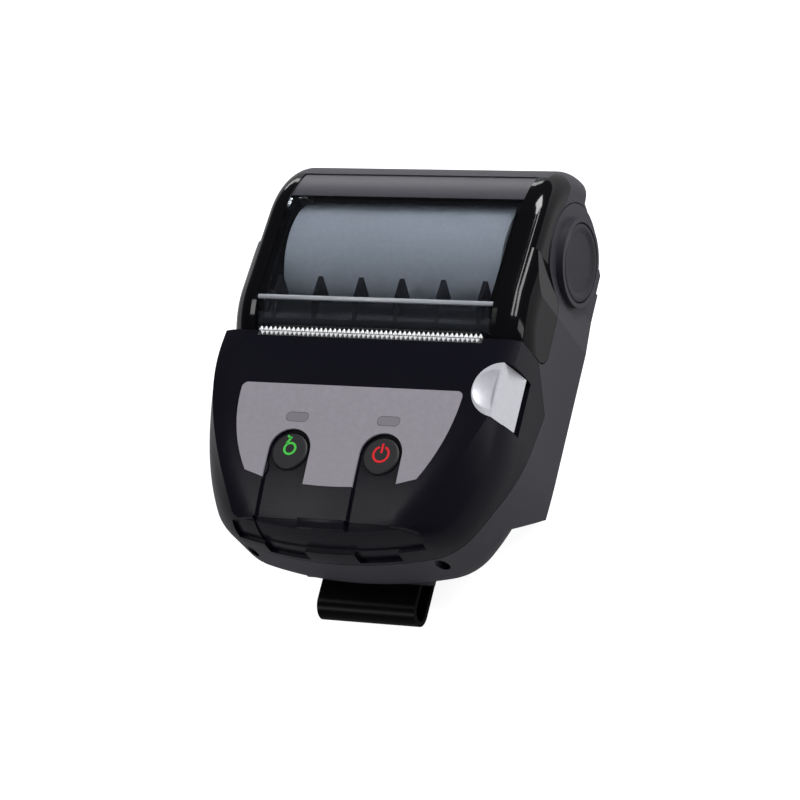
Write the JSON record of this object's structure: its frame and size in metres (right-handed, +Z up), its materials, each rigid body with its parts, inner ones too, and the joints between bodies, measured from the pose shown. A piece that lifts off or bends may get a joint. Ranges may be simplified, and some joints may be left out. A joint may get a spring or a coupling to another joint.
{
  "type": "portable receipt printer",
  "caption": "Pocket receipt printer with a rounded front deck, two round keys, a silver release lever, a smoked hinged roll cover with a tear bar, and a belt clip",
  "frame": {"origin": "centre of the bounding box at the base plane it lies on", "axes": "+Z up, +Y from the keys towards the paper end, +X to the right as the user sees the keys"},
  "size_m": [0.079, 0.1127, 0.0444],
  "materials": {
    "case_matt": "matt dark grey moulding, fine grain",
    "case_satin": "satin black moulding",
    "panel_grey": "fine metallic grey film",
    "lens": "milky light pipe",
    "key_rubber": "soft black key",
    "lever_silver": "satin silver paint",
    "cover_gloss": "high gloss black",
    "window_smoke": "smoked clear plastic",
    "steel": "bright sheet steel",
    "steel_dark": "dark plated steel",
    "alloy": "mill finish",
    "roller_rubber": "ground rubber",
    "gear_white": "natural white moulding",
    "black_moulding": "black moulding",
    "board_green": "circuit board",
    "paper_white": "thermal paper",
    "core_grey": "plastic core",
    "battery_black": "battery case",
    "clip_black": "gloss black"
  },
  "bodies": {
    "case": {"lower_case": "case_matt", "upper_case": "case_satin", "panel_overlay": "panel_grey", "status_lenses": "lens", "tact_switches": "black_moulding", "main_board": "board_green", "board_screws": "steel", "lever_spring": "steel", "tear_bar": "steel", "motor": "steel", "mechanism_frame": "steel_dark", "print_head": "alloy", "head_bracket": "steel", "head_springs": "steel", "paper_bucket": "black_moulding", "paper_sensor": "black_moulding", "battery_pack": "battery_black", "battery_contacts": "black_moulding", "belt_clip": "clip_black", "clip_screws": "steel_dark", "hinge_caps": "case_matt", "hinge_pins": "steel", "case_screws": "steel_dark", "port_board": "board_green", "charge_jack": "black_moulding", "data_socket": "steel"},
    "cover": {"cover_frame": "cover_gloss", "cover_back": "case_matt", "cover_window": "window_smoke", "platen_holder": "black_moulding", "platen_bushes": "gear_white"},
    "platen": {"platen_shaft": "steel", "platen_roller": "roller_rubber", "platen_gear": "gear_white"},
    "idler": {"idler_gear": "gear_white"},
    "pinion": {"motor_pinion": "steel"},
    "roll": {"paper_roll": "paper_white", "roll_core": "core_grey"},
    "lever": {"release_lever": "lever_silver"},
    "feed": {"feed_key": "key_rubber"},
    "power": {"power_key": "key_rubber"},
    "door": {"battery_door": "case_matt"},
    "flap": {"port_flap": "roller_rubber"}
  },
  "joints": [
    {"name": "cover_hinge", "type": "hinge", "parent": "case", "child": "cover", "pos_m": [0, 0.0345, 0.0207], "axis": [-1, 0, 0], "range_deg": [0, 72]},
    {"name": "platen_spin", "type": "hinge", "parent": "cover", "child": "platen", "pos_m": [0, 0.009, 0.035], "axis": [1, 0, 0], "continuous": true},
    {"name": "idler_spin", "type": "hinge", "parent": "case", "child": "idler", "pos_m": [0, 0.00414, 0.02634], "axis": [1, 0, 0], "continuous": true},
    {"name": "motor_spin", "type": "hinge", "parent": "case", "child": "pinion", "pos_m": [0, -0.0032, 0.0222], "axis": [1, 0, 0], "continuous": true},
    {"name": "roll_spin", "type": "hinge", "parent": "case", "child": "roll", "pos_m": [0, 0.0286, 0.0246], "axis": [1, 0, 0], "continuous": true},
    {"name": "lever_press", "type": "slide", "parent": "case", "child": "lever", "axis": [0, 0, -1], "range_m": [0, 0.0022], "stiffness_N_per_m": 800, "deforming": ["lever_spring"]},
    {"name": "feed_press", "type": "slide", "parent": "case", "child": "feed", "axis": [0, 0, -1], "range_m": [0, 0.0005], "stiffness_N_per_m": 1500},
    {"name": "power_press", "type": "slide", "parent": "case", "child": "power", "axis": [0, 0, -1], "range_m": [0, 0.0005], "stiffness_N_per_m": 1500},
    {"name": "door_swing", "type": "hinge", "parent": "case", "child": "door", "pos_m": [0, 0.00915, 0.00085], "axis": [1, 0, 0], "range_deg": [0, 90]},
    {"name": "flap_swing", "type": "hinge", "parent": "case", "child": "flap", "pos_m": [-0.0386, -0.0015, 0.0118], "axis": [0, 0, -1], "range_deg": [0, 88]}
  ],
  "couplings": [
    {"joint": "idler_spin", "follows": "platen_spin", "ratio": -0.83333},
    {"joint": "motor_spin", "follows": "platen_spin", "ratio": 1.5}
  ]
}
